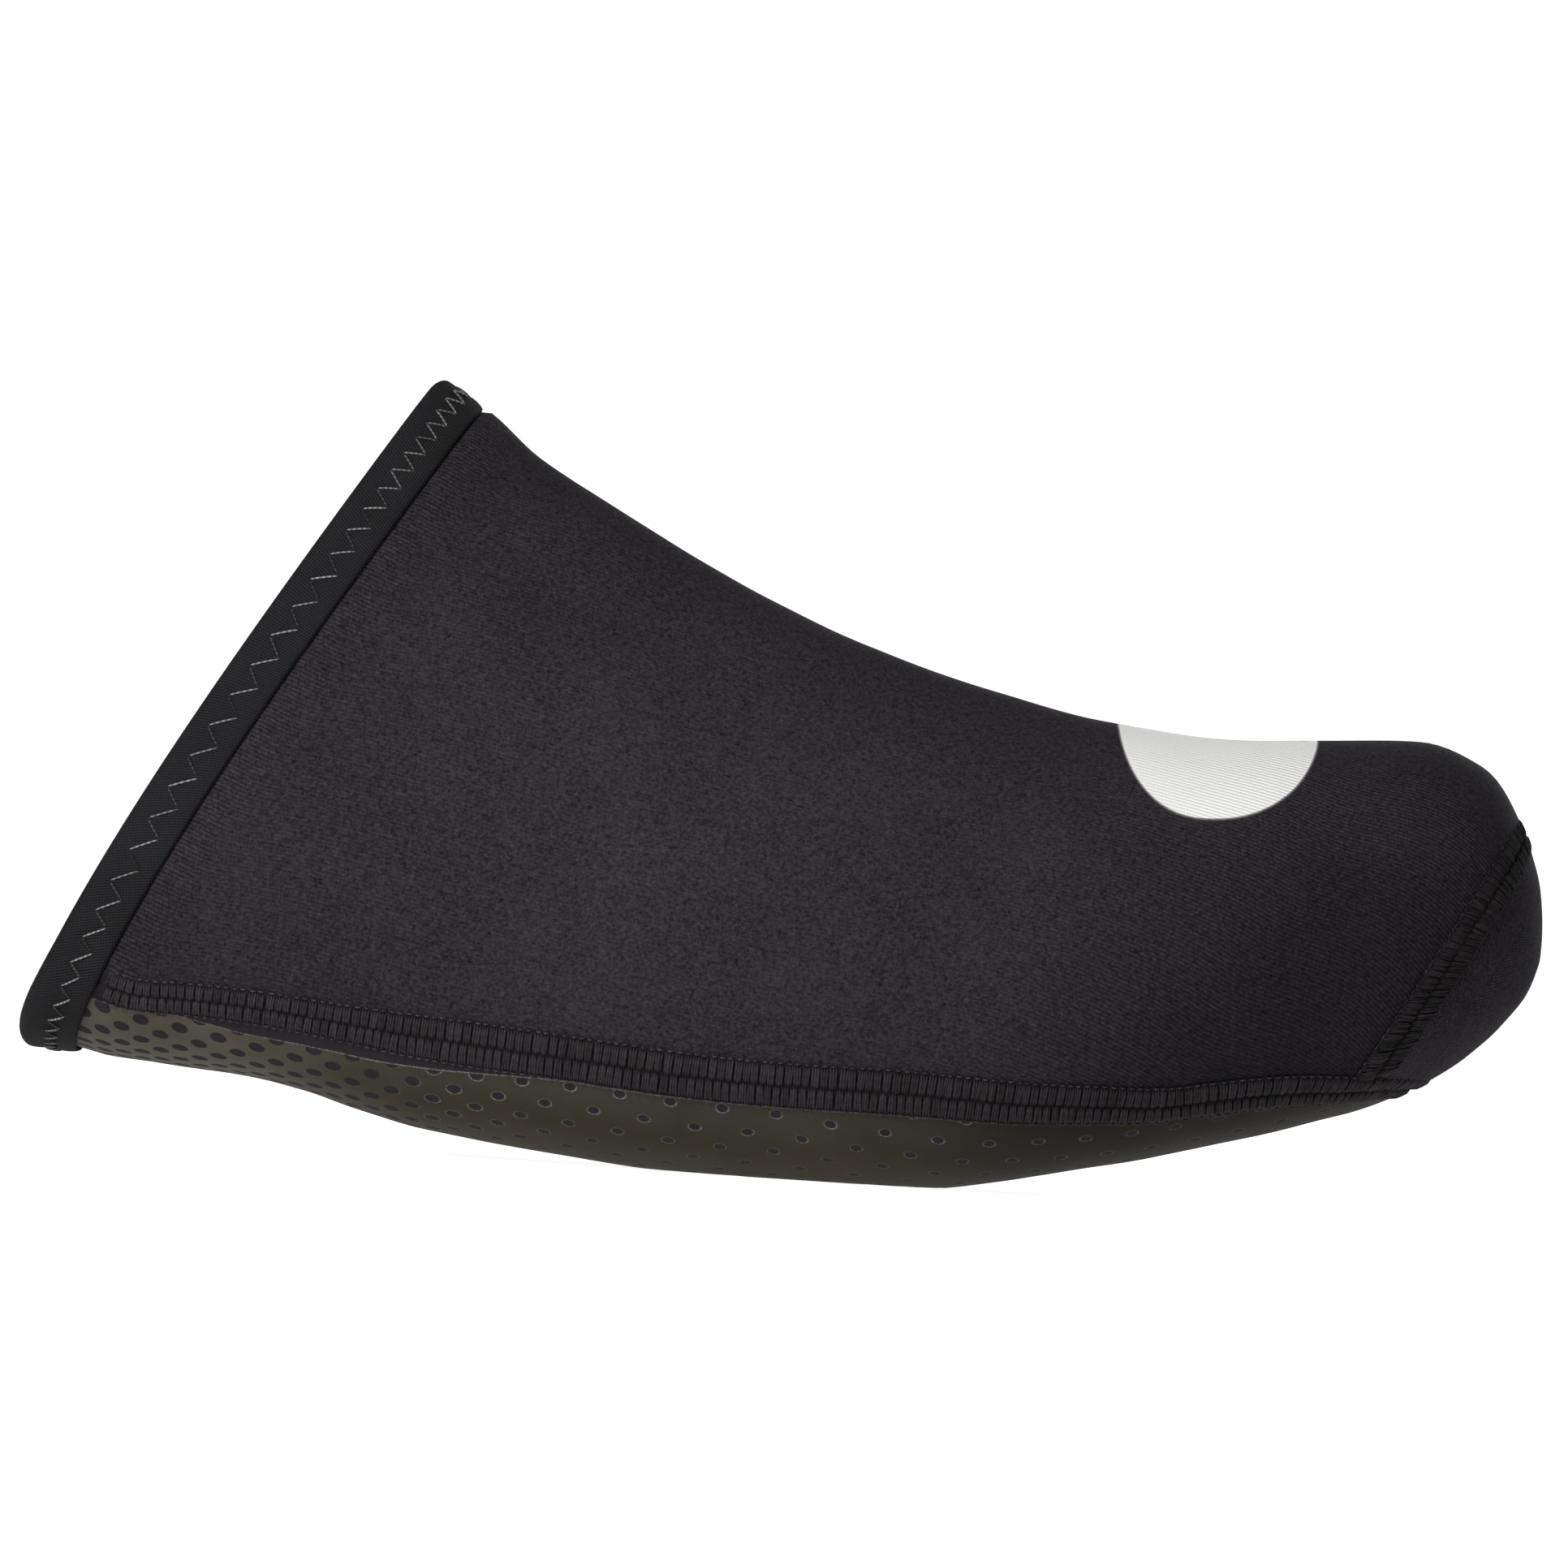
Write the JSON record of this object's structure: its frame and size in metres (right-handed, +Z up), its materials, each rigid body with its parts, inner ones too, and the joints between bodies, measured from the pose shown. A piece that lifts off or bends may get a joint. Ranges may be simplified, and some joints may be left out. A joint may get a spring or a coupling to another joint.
{
  "type": "cycling toe cover",
  "caption": "Hollow stretch-fabric hood for the front half of a cycling shoe, with a slanted taped collar, raised seams and a grip sole.",
  "frame": {"origin": "on the floor, under the middle of the cover's bounding box", "axes": "+X towards the toe, +Y to the wearer's left when the toe points away, +Z up"},
  "size_m": [0.2, 0.062, 0.1023],
  "materials": {
    "jersey": "matt knitted jersey over foam",
    "grip_coating": "satin printed film with round holes",
    "elastic_tape": "ribbed elastic",
    "thread": "soft stitched thread"
  },
  "bodies": {
    "root": {"upper": "jersey", "toe_bumper": "jersey", "sole": "grip_coating", "collar_binding": "elastic_tape", "sole_seam": "thread", "toe_seam": "thread"}
  },
  "joints": []
}
